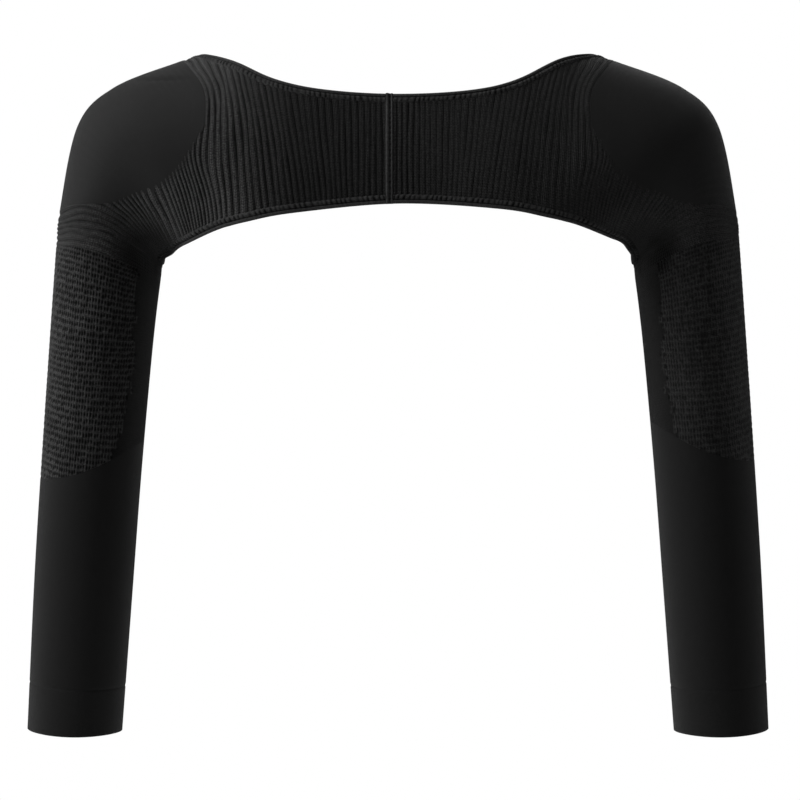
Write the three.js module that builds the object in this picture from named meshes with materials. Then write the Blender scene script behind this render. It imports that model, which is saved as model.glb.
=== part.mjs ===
// Two compression sleeves knitted on to one ribbed back yoke, shown as worn.
// Millimetres, +Z up. The origin is the middle of the back neck edge, the wearer faces +Y,
// -Y is the back of the garment and +X is the wearer's right arm.
import * as THREE from 'three';

// Driving sizes in mm
const GAP = 0.3;            // clear line between neighbouring pieces
const STEP_GAP = 0.5;       // along hem and shoulder cap, where the rib knit's edge is stepped
const KNIT_WALL = 1.3;      // plain and mesh knit
const CUFF_WALL = 2.2;      // cuff turned double
const RIB_WALL = 1.9;       // rib knit, crest to inner face
const RIB_DEPTH = 0.8;      // groove between two ribs
const HEM_WIDTH = 6.0;      // turned hem round neck, front and lower edge
const HEM_RISE = 0.4;       // hem above the rib crests
const HEM_WALL = 1.9;       // rib crests to the inner face of the hem
const SEAM_X = -5.6;        // centre back seam, pulled toward the left arm
const SEAM_WIDTH = 4.8;
const SEAM_RISE = 0.5;      // the two ridges of the flat seam

// Lines across the garment, counted in rings
const CAP_START = 3.98;
const CAP_END = 6.98;
const MESH_TOP = 7.96;
const MESH_TOP_PULL = 0.06;   // the knit is pulled toward the left hand by this much
const MESH_END = 9.89;
const MESH_END_PULL = 0.075;
const MESH_END_SLANT = 0.185; // outer arm lower than inner arm
const MESH_END_BOW = 0.07;
const CUFF_START = 11.69;

// Facets: sides round the arm, rows up or down a panel
const SLEEVE_SIDES = 20;
const UPPER_ARM_ROWS = 5;
const FOREARM_ROWS = 3;
const CUFF_ROWS = 2;
const CAP_ROWS = 9;
const SEAM_ROWS = 4;
const BACK_ROWS = 3;
const STRAP_START = 2;        // ring where the back panel widens toward the shoulder
const STRAP_ROWS = 5;
const FAN_ROWS = 3;           // hem to cap, behind
const FRONT_ROWS = 2;         // cap to hem, in front
const YOKE_SIDES = 16;        // round the arm below the cap
const TIP_STEPS = [0.04, 0.015, 0.004];  // extra yoke columns before the underarm tip, in rings
const RIB_SEARCH = 0.0005;    // step in rings while looking for the next rib

const KNIT_BLACK = 0x1c1c1f;
const RIB_BLACK = 0x242427;
const EDGE_BLACK = 0x161618;

// Rings of the right half, centre back to cuff. A ring runs from an inner point (0 degrees) over
// the back (90) to an outer point (180) and round the front (270). turn and rise bend it in X and Z.
const RINGS = [
  // outerX outerZ innerX innerZ midY depth  turn   rise   ribs
  [0.0, 66.0, 0.0, -206.0, 61.7, 72.0, 0.0, 0.0, 0.0],           // centre back
  [67.0, 58.0, 66.0, -200.0, 62.0, 74.0, 0.06, 0.0, 17.5],       // shoulder blade
  [101.0, 44.0, 98.0, -184.0, 61.0, 71.0, 0.15, 0.0, 25.0],      // neck side
  [121.5, 31.0, 115.0, -158.0, 58.5, 66.0, 0.23, 0.0, 29.0],     // shoulder peak
  [140.0, 25.0, 125.0, -135.0, 58.0, 63.0, 0.26, 0.0, 33.0],     // cap edge
  [182.0, 8.4, 130.0, -116.0, 59.0, 58.0, 0.14, -0.08, 43.5],    // upper fan
  [205.0, -16.0, 138.0, -110.0, 60.0, 52.0, 0.05, -0.2, 48.0],   // lower fan
  [216.5, -72.0, 149.5, -104.0, 60.0, 46.0, 0.0, -0.33, 55.5],   // underarm
  [218.5, -92.5, 152.0, -115.0, 60.0, 43.0, 0.0, -0.12, 61.5],   // mesh top
  [222.7, -153.0, 157.0, -158.0, 59.0, 40.0, 0.0, 0.0, 73.0],    // upper arm
  [228.0, -230.0, 164.0, -235.0, 60.0, 38.0, 0.0, 0.02, 94.0],   // elbow
  [233.0, -306.0, 170.0, -311.0, 64.0, 36.0, 0.0, 0.05, 115.0],  // forearm
  [238.0, -402.5, 177.3, -404.0, 70.0, 34.0, 0.0, 0.06, 142.0],  // wrist
];
const RING_MIRROR = [-1, 1, -1, 1, 1, 1, -1, 1, -1];

// Opening edge from the centre back along the lower hem, under the arm, up the front to the neck
const OPENING = [
  // ring  degrees lean
  [0.0, 90.3, 0.0], [1.0, 88.8, 0.5], [2.0, 85.9, 0.6], [3.0, 79.2, 0.8], [4.0, 68.3, 1.1],
  [5.0, 49.3, 1.9], [6.0, 36.8, 2.8], [6.72, 20.0, 1.5], [7.0, 0.0, 0.0], [6.72, -26.0, 0.0],
  [6.0, -50.0, 0.0], [5.0, -78.0, 0.0], [4.2, -115.0, 0.0], [3.5, -158.0, 0.0], [3.0, -193.6, 1.4],
  [2.0, -218.5, 0.9], [1.0, -233.4, 0.0], [0.0, -239.0, 0.0],
];
const OPENING_MIRROR = [-1, 1, -1];
const OPENING_END = OPENING.length - 1;

// Lower edge of the shoulder cap, behind and in front
const CAP_EDGE = [
  // ring  back   front
  [3.98, 116.0, 205.0], [4.25, 103.5, 228.0], [4.5, 95.0, 241.0], [5.0, 84.5, 262.0],
  [5.5, 79.5, 273.0], [6.0, 79.0, 277.0], [6.5, 82.0, 276.0], [6.75, 88.0, 271.0],
  [6.9, 98.5, 261.0], [6.98, 115.0, 245.0],
];

// Stretches of the opening edge and the hem's steps along them: back, underarm, front and neck
const HEM_STRETCHES = [
  // from  to  steps
  [0.0, 6.3, 18], [6.3, 9.4, 16], [9.4, OPENING_END, 20],
];

// Hem section: share of the width from the opening edge, height over the rib crests
const HEM_SECTION = [
  [0.0, -0.5], [0.16, HEM_RISE], [0.84, HEM_RISE], [1.0, -0.3], [1.0, -HEM_WALL], [0.06, -HEM_WALL],
];

// Seam section: distance from the middle line, height over the rib crests
const SEAM_SECTION = [
  [-0.5, -0.2], [-0.36, SEAM_RISE], [-0.2, SEAM_RISE], [-0.06, -0.2],
  [0.06, -0.2], [0.2, SEAM_RISE], [0.36, SEAM_RISE], [0.5, -0.2],
];

// Smooth curve through four neighbouring table values
function curve(before, a, b, after, u) {
  const slopeA = (b - before) / 2;
  const slopeB = (after - a) / 2;
  const v = u * u;
  const w = v * u;
  return (2 * w - 3 * v + 1) * a + (w - 2 * v + u) * slopeA + (3 * v - 2 * w) * b + (w - v) * slopeB;
}

// One smooth row of a table; the rows beyond an end are mirror images where a mirror is given
function rowAt(table, t, startMirror, endMirror) {
  const last = table.length - 1;
  const i = Math.min(Math.max(Math.floor(t), 0), last - 1);
  return table[i].map((a, c) => {
    const b = table[i + 1][c];
    const before = i > 0 ? table[i - 1][c] : table[1][c] * startMirror[c];
    const mirrored = endMirror ? table[last - 1][c] * endMirror[c] : 2 * b - a;
    const after = i + 2 <= last ? table[i + 2][c] : mirrored;
    return curve(before, a, b, after, t - i);
  });
}

// Straight-line value from a table whose first column rises
function lookUp(table, x, column) {
  let i = 0;
  while (i < table.length - 2 && table[i + 1][0] < x) i += 1;
  const u = (x - table[i][0]) / (table[i + 1][0] - table[i][0]);
  return THREE.MathUtils.lerp(table[i][column], table[i + 1][column], THREE.MathUtils.clamp(u, 0, 1));
}

// Point on the outer face of the right half; a negative ring number is the left half
function skin(ring, degrees) {
  const [ox, oz, ix, iz, midY, depth, turn, rise] = rowAt(RINGS, Math.abs(ring), RING_MIRROR);
  const across = -Math.cos(THREE.MathUtils.degToRad(degrees));
  const back = depth * Math.sin(THREE.MathUtils.degToRad(degrees));
  const lift = rise * back * back / depth;
  const x = (ox + ix) / 2 + across * (ox - ix) / 2 - back * turn;
  const z = (oz + iz) / 2 + across * (oz - iz) / 2 - lift;
  return new THREE.Vector3(ring < 0 ? -x : x, midY - back, z);
}

// Point with its two surface directions and outward normal
function frameAt(ring, degrees) {
  const point = skin(ring, degrees);
  const along = skin(ring + 0.002, degrees).sub(skin(ring - 0.002, degrees)).divideScalar(0.004);
  const round = skin(ring, degrees + 0.1).sub(skin(ring, degrees - 0.1)).divideScalar(0.2);
  const normal = along.clone().cross(round).normalize();
  return { point, along, round, normal };
}

function raised(ring, degrees, height) {
  const f = frameAt(ring, degrees);
  return f.point.addScaledVector(f.normal, height);
}

// Ring number moved a distance in mm down the garment
function downBy(ring, degrees, mm) {
  return ring + mm / frameAt(ring, degrees).along.length();
}

// Ring and angle on the opening edge; side is +1 for the right half and -1 for the left
function openingAt(t, side) {
  const past = t > OPENING_END ? 2 * OPENING_END - t : t;
  const sign = t < 0 || t > OPENING_END ? -1 : 1;
  const [ring, degrees, lean] = rowAt(OPENING, Math.abs(past), OPENING_MIRROR, OPENING_MIRROR);
  return [sign * ring, degrees + side * sign * lean];
}

// Ring and angle reached by walking a distance in mm over the surface in one direction
function walk(ring, degrees, direction, mm) {
  const steps = Math.max(1, Math.ceil(mm));
  for (let k = 0; k < steps; k += 1) {
    const { along, round } = frameAt(ring, degrees);
    const aa = along.dot(along);
    const ar = along.dot(round);
    const rr = round.dot(round);
    const pa = along.dot(direction) * mm / steps;
    const pr = round.dot(direction) * mm / steps;
    const det = aa * rr - ar * ar;
    ring += (pa * rr - pr * ar) / det;
    degrees += (pr * aa - pa * ar) / det;
  }
  return [ring, degrees];
}

// Ring and angle a distance in from a line on the surface, to the left of its run
function insetFrom(line, t, mm) {
  const ahead = skin(...line(t + 0.01)).sub(skin(...line(t - 0.01)));
  const inward = frameAt(...line(t)).normal.cross(ahead).normalize();
  return walk(...line(t), inward, mm);
}

function inset(t, side, mm) {
  return insetFrom((u) => openingAt(u, side), t, mm);
}

// A knitted wall: outer faces are collected, the inner face and the edges follow
class Wall {
  constructor(side) {
    this.side = side;
    this.ids = new Map();
    this.outer = [];
    this.inner = [];
    this.faces = [];
  }

  vertex(ring, degrees, height, thickness) {
    const { point, normal } = frameAt(ring, degrees);
    const out = point.clone().addScaledVector(normal, height);
    const key = out.toArray().map((v) => v.toFixed(4)).join();
    if (!this.ids.has(key)) {
      this.ids.set(key, this.outer.length);
      this.outer.push(out);
      this.inner.push(point.addScaledVector(normal, -thickness));
    }
    return this.ids.get(key);
  }

  // Triangles between two neighbouring columns of [degrees, vertex] pairs
  zip(a, b) {
    let i = 0;
    let j = 0;
    while (i < a.length - 1 || j < b.length - 1) {
      const stepA = j === b.length - 1 || (i < a.length - 1 && a[i + 1][0] < b[j + 1][0]);
      const next = stepA ? a[i + 1][1] : b[j + 1][1];
      if (a[i][1] !== b[j][1]) this.faces.push([a[i][1], b[j][1], next]);
      if (stepA) i += 1;
      else j += 1;
    }
  }

  mesh(name, color) {
    const count = this.outer.length;
    const index = [];
    const edges = new Map();
    for (const [a, b, c] of this.faces) {
      index.push(a, b, c, count + a, count + c, count + b);
      for (const [p, q] of [[a, b], [b, c], [c, a]]) edges.set(`${p},${q}`, [p, q]);
    }
    for (const [p, q] of edges.values()) {
      if (!edges.has(`${q},${p}`)) index.push(q, p, count + p, q, count + p, count + q);
    }
    return solid(name, color, [...this.outer, ...this.inner], index, this.side);
  }
}

// Mesh from points and triangles of the right half, mirrored for the left
function solid(name, color, points, index, side) {
  const turned = [];
  for (let k = 0; k < index.length; k += 3) {
    turned.push(index[k], index[k + (side > 0 ? 1 : 2)], index[k + (side > 0 ? 2 : 1)]);
  }
  const geometry = new THREE.BufferGeometry();
  const positions = points.flatMap((p) => [side * p.x, p.y, p.z]);
  geometry.setAttribute('position', new THREE.Float32BufferAttribute(positions, 3));
  geometry.setIndex(turned);
  geometry.computeVertexNormals();
  const mesh = new THREE.Mesh(geometry, new THREE.MeshStandardMaterial({ color, roughness: 0.95 }));
  mesh.name = name;
  return mesh;
}

function spread(from, to, steps) {
  return Array.from({ length: steps + 1 }, (_, k) => THREE.MathUtils.lerp(from, to, k / steps));
}

// Ring number of the yoke's centre edge, and of the hem ends, beside the seam
function seamSide(side) {
  return (side * SEAM_X + SEAM_WIDTH / 2 + GAP) / RINGS[1][0];
}

// Where the rib knit meets the hem: lower and front angle against ring number, and the underarm tip
function yokeOutline(side) {
  const start = -0.2;
  const samples = spread(start, OPENING_END - start, 360).map((t) => inset(t, side, HEM_WIDTH + STEP_GAP));
  const tip = samples.reduce((best, p, k) => (p[0] > samples[best][0] ? k : best), 0);
  return { low: samples.slice(0, tip + 1), high: samples.slice(tip).reverse(), tip: samples[tip] };
}

// Ribs counted from the centre back
function ribCount(ring) {
  return Math.sign(ring) * rowAt(RINGS, Math.abs(ring), RING_MIRROR)[8];
}

// Ring numbers at every rib crest and groove, with the lines of the cap and the underarm tip kept
function ribColumns(from, to, kept) {
  const columns = [[from, true]];
  let next = ribCount(from) + 0.5;
  for (let ring = from; ring < to; ring += RIB_SEARCH) {
    if (ribCount(ring) >= next) {
      columns.push([ring, columns.length % 2 === 0]);
      next += 0.5;
    }
  }
  columns[columns.length - 1][0] = to;
  for (const line of kept) {
    const near = columns.reduce((a, b) => (Math.abs(b[0] - line) < Math.abs(a[0] - line) ? b : a));
    near[0] = line;
  }
  return columns;
}

function yoke(name, side) {
  const wall = new Wall(side);
  const outline = yokeOutline(side);
  const tipRing = outline.tip[0];
  const end = MESH_TOP - side * MESH_TOP_PULL;
  const columns = ribColumns(seamSide(side), end, [CAP_START, CAP_END, tipRing]);
  const tipAt = columns.findIndex(([ring]) => ring === tipRing);
  const nearTip = TIP_STEPS.map((step) => [tipRing - step, columns[tipAt][1]]);
  columns.splice(tipAt, 0, ...nearTip);

  const column = ([ring, crest], degrees) => {
    const last = ring === end;
    return degrees.map((d) => {
      const at = last ? downBy(ring, d, -GAP / 2) : ring;
      return [d, wall.vertex(at, d, crest ? 0 : -RIB_DEPTH, RIB_WALL)];
    });
  };
  const edges = (ring) => {
    if (ring >= tipRing) return [outline.tip[1], outline.tip[1] + 360];
    return [lookUp(outline.low, ring, 1), lookUp(outline.high, ring, 1) + 360];
  };

  let before = null;
  for (const place of columns) {
    const ring = place[0];
    const [low, high] = edges(ring);
    const inCap = ring >= CAP_START && ring <= CAP_END;
    const rows = ring < STRAP_START ? BACK_ROWS : ring < CAP_START ? STRAP_ROWS : YOKE_SIDES;
    let parts = [spread(low, high, rows)];
    if (inCap) {
      const back = lookUp(CAP_EDGE, ring, 1);
      const front = lookUp(CAP_EDGE, ring, 2);
      parts = [spread(low, back, FAN_ROWS), spread(front, high, FRONT_ROWS)];
      if (ring === CAP_START || ring === CAP_END) {
        parts.splice(1, 0, spread(back, front, CAP_ROWS).slice(1, -1));
      }
    }
    const made = parts.map((degrees) => column(place, degrees));
    if (before && before.inCap && inCap) {
      wall.zip(before.made[0], made[0]);
      wall.zip(before.made.at(-1), made.at(-1));
    } else if (before) {
      wall.zip(before.made.flat(), made.flat());
    }
    before = { made, inCap };
  }
  return wall.mesh(name, RIB_BLACK);
}

// Smooth heel-shaped cap over the shoulder
function shoulderCap(name, side) {
  const wall = new Wall(side);
  const edge = (column) => (ring) => [ring, lookUp(CAP_EDGE, ring, column)];
  const rings = CAP_EDGE.slice(1).flatMap(([ring], k) => [(CAP_EDGE[k][0] + ring) / 2, ring]);
  let before = null;
  for (const ring of [CAP_START, ...rings]) {
    const shift = ring === CAP_START ? GAP : ring === CAP_END ? -GAP : 0;
    const back = insetFrom(edge(1), ring, STEP_GAP);
    const front = insetFrom(edge(2), ring, -STEP_GAP);
    const made = spread(0, 1, CAP_ROWS).map((share) => {
      const d = THREE.MathUtils.lerp(back[1], front[1], share);
      const r = THREE.MathUtils.lerp(back[0], front[0], share);
      return [d, wall.vertex(downBy(r, d, shift), d, 0, KNIT_WALL)];
    });
    if (before) wall.zip(before, made);
    before = made;
  }
  return wall.mesh(name, KNIT_BLACK);
}

// Lower end of the mesh panel, slanting down to the outer arm
function meshEnd(degrees, side) {
  const angle = THREE.MathUtils.degToRad(degrees);
  const slant = -MESH_END_SLANT * Math.cos(angle) + MESH_END_BOW * Math.sin(angle) ** 2;
  return MESH_END - side * MESH_END_PULL + slant;
}

// Closed length of sleeve between two lines across the arm
function sleeve(name, side, top, bottom, rows, thickness, color) {
  const wall = new Wall(side);
  let before = null;
  for (const share of spread(0, 1, rows)) {
    const made = spread(0, 360, SLEEVE_SIDES).map((d) => {
      return [d, wall.vertex(THREE.MathUtils.lerp(top(d), bottom(d), share), d, 0, thickness)];
    });
    if (before) wall.zip(before, made);
    before = made;
  }
  return wall.mesh(name, color);
}

// Turned hem swept along the opening edge, from the seam round to the seam
function hem(name, side) {
  const start = seamSide(side);
  const places = HEM_STRETCHES.flatMap(([from, to, steps]) => spread(from, to, steps).slice(1));
  places[places.length - 1] = OPENING_END - start;
  places.unshift(start);
  const points = [];
  for (const t of places) {
    for (const [share, height] of HEM_SECTION) {
      points.push(raised(...inset(t, side, share * HEM_WIDTH), height));
    }
  }
  const n = HEM_SECTION.length;
  const index = [];
  for (let k = 0; k < places.length - 1; k += 1) {
    for (let i = 0; i < n; i += 1) {
      const a = k * n + i;
      const b = k * n + ((i + 1) % n);
      index.push(a, a + n, b + n, a, b + n, b);
    }
  }
  const far = (places.length - 1) * n;
  for (let i = 1; i < n - 1; i += 1) index.push(0, i, i + 1, far, far + i + 1, far + i);
  return solid(name, EDGE_BLACK, points, index, side);
}

// Flat seam with two ridges joining the halves at the centre back
function centreSeam(name) {
  const wall = new Wall(1);
  let before = null;
  for (const [share, height] of SEAM_SECTION) {
    const ring = (SEAM_X + share * SEAM_WIDTH) / RINGS[1][0];
    const low = openingAt(ring, 1)[1];
    const high = openingAt(OPENING_END - ring, 1)[1] + 360;
    const made = spread(low, high, SEAM_ROWS).map((d) => [d, wall.vertex(ring, d, height, RIB_WALL)]);
    if (before) wall.zip(before, made);
    before = made;
  }
  return wall.mesh(name, EDGE_BLACK);
}

const garment = new THREE.Group();
garment.name = 'joined_arm_compression_sleeves';
garment.add(centreSeam('centre_seam'));
for (const [word, side] of [['left', -1], ['right', 1]]) {
  const half = GAP / 2;
  const meshTop = (d) => downBy(MESH_TOP - side * MESH_TOP_PULL, d, half);
  const meshFoot = (d) => downBy(meshEnd(d, side), d, -half);
  const foreTop = (d) => downBy(meshEnd(d, side), d, half);
  const foreFoot = (d) => downBy(CUFF_START, d, -half);
  const cuffTop = (d) => downBy(CUFF_START, d, half);
  const cuffFoot = () => RINGS.length - 1;
  garment.add(yoke(`${word}_yoke`, side));
  garment.add(shoulderCap(`${word}_shoulder_cap`, side));
  garment.add(sleeve(`${word}_upper_arm`, side, meshTop, meshFoot, UPPER_ARM_ROWS, KNIT_WALL, KNIT_BLACK));
  garment.add(sleeve(`${word}_forearm`, side, foreTop, foreFoot, FOREARM_ROWS, KNIT_WALL, KNIT_BLACK));
  garment.add(sleeve(`${word}_cuff`, side, cuffTop, cuffFoot, CUFF_ROWS, CUFF_WALL, KNIT_BLACK));
  garment.add(hem(`${word}_hem`, side));
}

export default garment;
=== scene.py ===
import math

import bpy
import numpy as np
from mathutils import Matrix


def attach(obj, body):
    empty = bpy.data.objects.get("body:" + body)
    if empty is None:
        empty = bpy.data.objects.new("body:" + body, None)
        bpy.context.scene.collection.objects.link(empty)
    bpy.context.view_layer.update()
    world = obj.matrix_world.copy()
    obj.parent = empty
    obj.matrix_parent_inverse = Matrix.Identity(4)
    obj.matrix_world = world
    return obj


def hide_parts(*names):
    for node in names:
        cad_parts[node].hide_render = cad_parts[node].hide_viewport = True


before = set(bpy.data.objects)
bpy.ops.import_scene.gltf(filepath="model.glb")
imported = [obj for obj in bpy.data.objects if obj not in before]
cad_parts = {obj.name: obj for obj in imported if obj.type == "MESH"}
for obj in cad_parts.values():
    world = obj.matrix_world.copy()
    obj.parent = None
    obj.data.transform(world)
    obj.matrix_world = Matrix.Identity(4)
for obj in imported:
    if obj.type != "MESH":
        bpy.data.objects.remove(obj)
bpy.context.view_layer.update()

MM = 0.001
SIDES = (("left", -1), ("right", 1))

# Sizes in mm, as in the solids
KNIT_WALL = 1.3
CUFF_WALL = 2.2
RIB_WALL = 1.9
HEM_WIDTH = 6.0
SEAM_X = -5.6
SEAM_WIDTH = 4.8
TUCK = 0.9                  # rib knit that lies under the hem and the seam

# Small steps that give the slopes of the skin, and points along the lines worked out from tables
RING_STEP = 0.002
ANGLE_STEP = 0.1
EDGE_STEP = 0.01
INSET_STEPS = 8
RIB_SAMPLES = 6000
EDGE_SAMPLES = 500
CAP_SAMPLES = 400
HEM_SAMPLES = 4000

# Lines across the garment, counted in rings
CAP_START = 3.98
CAP_END = 6.98
MESH_TOP = 7.96
MESH_TOP_PULL = 0.06        # lower on the left arm, higher on the right
MESH_END = 9.89
MESH_END_PULL = 0.075
MESH_END_SLANT = 0.185      # higher on the inner arm, lower on the outer
MESH_END_BOW = 0.07         # lower behind and in front
CUFF_START = 11.69

# Rings of the right half, centre back to cuff: inner point at 0 degrees, back at 90, outer point at 180
RINGS = np.array([
    # outer_x outer_z inner_x inner_z mid_y depth turn rise ribs
    (0.0, 66.0, 0.0, -206.0, 61.7, 72.0, 0.0, 0.0, 0.0),
    (67.0, 58.0, 66.0, -200.0, 62.0, 74.0, 0.06, 0.0, 17.5),
    (101.0, 44.0, 98.0, -184.0, 61.0, 71.0, 0.15, 0.0, 25.0),
    (121.5, 31.0, 115.0, -158.0, 58.5, 66.0, 0.23, 0.0, 29.0),
    (140.0, 25.0, 125.0, -135.0, 58.0, 63.0, 0.26, 0.0, 33.0),
    (182.0, 8.4, 130.0, -116.0, 59.0, 58.0, 0.14, -0.08, 43.5),
    (205.0, -16.0, 138.0, -110.0, 60.0, 52.0, 0.05, -0.2, 48.0),
    (216.5, -72.0, 149.5, -104.0, 60.0, 46.0, 0.0, -0.33, 55.5),
    (218.5, -92.5, 152.0, -115.0, 60.0, 43.0, 0.0, -0.12, 61.5),
    (222.7, -153.0, 157.0, -158.0, 59.0, 40.0, 0.0, 0.0, 73.0),
    (228.0, -230.0, 164.0, -235.0, 60.0, 38.0, 0.0, 0.02, 94.0),
    (233.0, -306.0, 170.0, -311.0, 64.0, 36.0, 0.0, 0.05, 115.0),
    (238.0, -402.5, 177.3, -404.0, 70.0, 34.0, 0.0, 0.06, 142.0),
])
RING_MIRROR = np.array([-1, 1, -1, 1, 1, 1, -1, 1, -1])
CENTRE_RING = RINGS[1, 0]   # mm from the centre back to the first ring

# Opening edge from the centre back along the lower hem, under the arm, up the front to the neck
OPENING = np.array([
    # ring degrees lean
    (0.0, 90.3, 0.0), (1.0, 88.8, 0.5), (2.0, 85.9, 0.6), (3.0, 79.2, 0.8), (4.0, 68.3, 1.1),
    (5.0, 49.3, 1.9), (6.0, 36.8, 2.8), (6.72, 20.0, 1.5), (7.0, 0.0, 0.0), (6.72, -26.0, 0.0),
    (6.0, -50.0, 0.0), (5.0, -78.0, 0.0), (4.2, -115.0, 0.0), (3.5, -158.0, 0.0), (3.0, -193.6, 1.4),
    (2.0, -218.5, 0.9), (1.0, -233.4, 0.0), (0.0, -239.0, 0.0),
])
OPENING_MIRROR = np.array([-1, 1, -1])
OPENING_END = len(OPENING) - 1
OPENING_PAST = 0.25         # how far the yoke's edge is followed past both ends, to lie under the seam

# Lower edge of the shoulder cap, behind and in front
CAP_EDGE = np.array([
    # ring back front
    (3.98, 116.0, 205.0), (4.25, 103.5, 228.0), (4.5, 95.0, 241.0), (5.0, 84.5, 262.0),
    (5.5, 79.5, 273.0), (6.0, 79.0, 277.0), (6.5, 82.0, 276.0), (6.75, 88.0, 271.0),
    (6.9, 98.5, 261.0), (6.98, 115.0, 245.0),
])

# Hollow at the back of each armpit: place in x and z, half sizes, depth
ARMPIT = (157.0, -100.0, 17.0, 17.0, 8.0)
ARMPIT_EASE = 20.0          # it fades out over this depth toward the side of the sleeve
ARMPIT_RIM = (12.0, 27.0)   # between these distances the ribs begin and the painted shade of the armpit fades out
# Painted shade in the armpit's hollow: the knit there is drawn this much darker
ARMPIT_PAINTED_SHADE = 0.97

# Rib knit: points across one rib, close together at the groove
RIB_POINTS = np.array([-0.5, -0.43, -0.32, -0.17, 0.0, 0.17, 0.32, 0.43])
RIB_PITCH = 3.75            # width of a rib in its UV
RIB_DEPTH = 1.15
RIB_ROUND = 0.93            # 1 would be half a circle
RIB_WAVE = 0.5              # share of a plain wave in the cords' section
RIB_INNER = 0.3             # relief of the inner face
RIB_SWAY = 0.2              # ribs wander sideways by this share of a rib
RIB_SWAY_FADE = 0.2         # which fades out over this many rings toward the cap's ends and the mesh
RIB_SWAY_WAVES = np.array([
    # share per_rib per_turn start
    (1.0, 1.3, 5.0, 0.0), (0.7, 0.41, -9.0, 1.0), (0.5, 2.1, 17.0, 0.0),
])
RIB_UNEVEN = 0.3            # ribs differ in depth by this share, within limits
RIB_UNEVEN_LIMITS = (0.6, 1.1)
RIB_UNEVEN_WAVES = np.array([
    # per_rib per_turn
    (2.3, 3.0), (0.9, -4.0),
])
# Ribs along each half: share of their depth, and painted shade: how much darker the knit is drawn, most at
# the centre back and on the right half, which get less light
RIB_STATE = {
    # ring depth dark
    -1: np.array([
        (0.0, 0.5, 0.7), (1.0, 0.52, 0.7), (1.5, 0.75, 0.53), (2.6, 0.9, 0.18), (3.4, 0.85, 0.0),
        (5.5, 0.82, 0.0), (6.3, 0.9, 0.05), (6.9, 0.75, 0.3),
    ]),
    1: np.array([
        (0.0, 0.7, 0.6), (0.12, 0.7, 0.6), (0.28, 0.36, 0.65), (2.8, 0.33, 0.58), (3.4, 0.36, 0.56),
        (6.3, 0.36, 0.54), (6.9, 0.25, 0.54),
    ]),
}
RIB_LEAN = 0.2              # ribs lean toward the centre below, by this many rings at most
RIB_LEAN_RINGS = (0.2, 3.4)
RIB_BOW = 0.2               # bow behind the shoulder, in rings
RIB_BOW_RING = (3.7, 0.7)   # where the bow is widest, and its half width
RIB_BOW_UP = (135.0, 14.0)  # the same for the angles of its upper and lower halves
RIB_BOW_DOWN = (98.0, 14.0)
RIB_SHARE = {-1: 0.95, 1: 1.0}      # the left half is stretched wider, so it has fewer ribs across the back
RIB_SHARE_END = 46.0        # rib number up to which that holds
RIB_SHIFT = {-1: 0.0, 1: -0.35}     # ribs moved along by this share of a rib
RIB_TOOTH = 1.7             # degrees that each rib reaches into the cap
RIB_TOOTH_FADE = (0.15, 0.1)        # rings over which the teeth grow and end
BACK_ROWS = 24              # hem to cap, behind
CAP_SIDE_ROWS = 38          # along the cap
FRONT_ROWS = 14             # cap to hem, in front
CAP_ROWS = 56

# Mesh knit: columns round the arm, rows down it
CELL_DEGREES = 10 / 3
CELL_COLUMN_POINTS = 4
CELL_ROW_POINTS = np.array([-0.5, -0.3, -0.1, 0.1, 0.3])
CELL_SCATTER = (12.99, 78.23, 437.5, 17.3)  # sine's steps per column and row, its size, a second multiple
EYELET_HALF = (0.37, 0.36)  # half width and half height, in columns and rows
EYELET_POINT = 1.6          # depth of the cone's point, in shares; a flat floor cuts it off at 1
EYELET_SLOPE = 1.1          # how much of that is lost from the middle to the half width
EYELET_DEPTH = 0.85
EYELET_UNEVEN = 0.35        # eyelets differ in size by this share
EYELET_STRAY = 0.11         # and lie off their middle by this share of a cell at most
EYELET_OPEN = {-1: 0.95, 1: 0.6}    # share of their depth on each arm; the right one is less stretched
MESH_FLECK = 0.45           # threads of one cell are darker than another's by this share at most
MESH_PAINTED_SHADE = {-1: 0.35, 1: 0.55}    # painted shade: how much darker the mesh is drawn away from the outer arm
MESH_RAGGED = 9.0           # degrees by which its inner edge wanders from row to row
MESH_RIDGE = 0.1            # raised rows between the eyelets
MESH_RIDGE_LEVEL = 0.6      # share of a ridge's height that lies below the skin
MESH_INNER_ROWS = 12
MESH_COUNT = (-3, 43)       # knitted rows from and to, past both ends of the panel
MESH_ROW_TILT = 0.35        # rows hang lower on the inner arm
MESH_ROW_SAG = 1.4          # and at the back
MESH_ROWS = np.array([
    # ring rows
    (7.7, -2.5), (8.0, 1.5), (9.0, 16.5), (9.5, 26.5), (10.3, 42.0),
])
MESH_PLAIN = 40.0           # degrees from the inner point within which there are no eyelets
# Inner edge of the mesh behind; the front is alike
MESH_EDGE = np.array([
    # ring degrees
    (7.8, 53.0), (8.04, 51.5), (8.72, 47.5), (9.3, 44.5), (9.66, 52.5), (9.96, 60.5), (10.3, 66.0),
])

# Hem section: share of the width from the opening edge, height over the rib crests, how far stitches lift it
HEM_SECTION = np.array([
    # share height lift
    (0.0, -0.8, 0.0), (0.02, -0.3, 0.0), (0.07, 0.15, 0.0), (0.14, 0.42, 0.1), (0.22, 0.5, 0.15),
    (0.3, 0.38, 0.15), (0.37, 0.05, 0.2), (0.42, -0.25, 0.3), (0.47, -0.05, 0.6), (0.54, 0.25, 0.9),
    (0.63, 0.42, 1.0), (0.72, 0.42, 1.0), (0.81, 0.25, 0.9), (0.89, -0.05, 0.6), (0.96, -0.4, 0.2),
    (1.0, -0.85, 0.0), (1.0, -1.9, 0.0), (0.65, -1.9, 0.0), (0.3, -1.9, 0.0), (0.03, -1.5, 0.0),
])
HEM_WRAP = 1.6              # place where the section closes on the knit, in widths
HEM_GROOVE = 0.42           # where the groove between bead and stitches lies, drawn as a dark line of painted shade
HEM_GROOVE_HALF = 0.05
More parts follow.
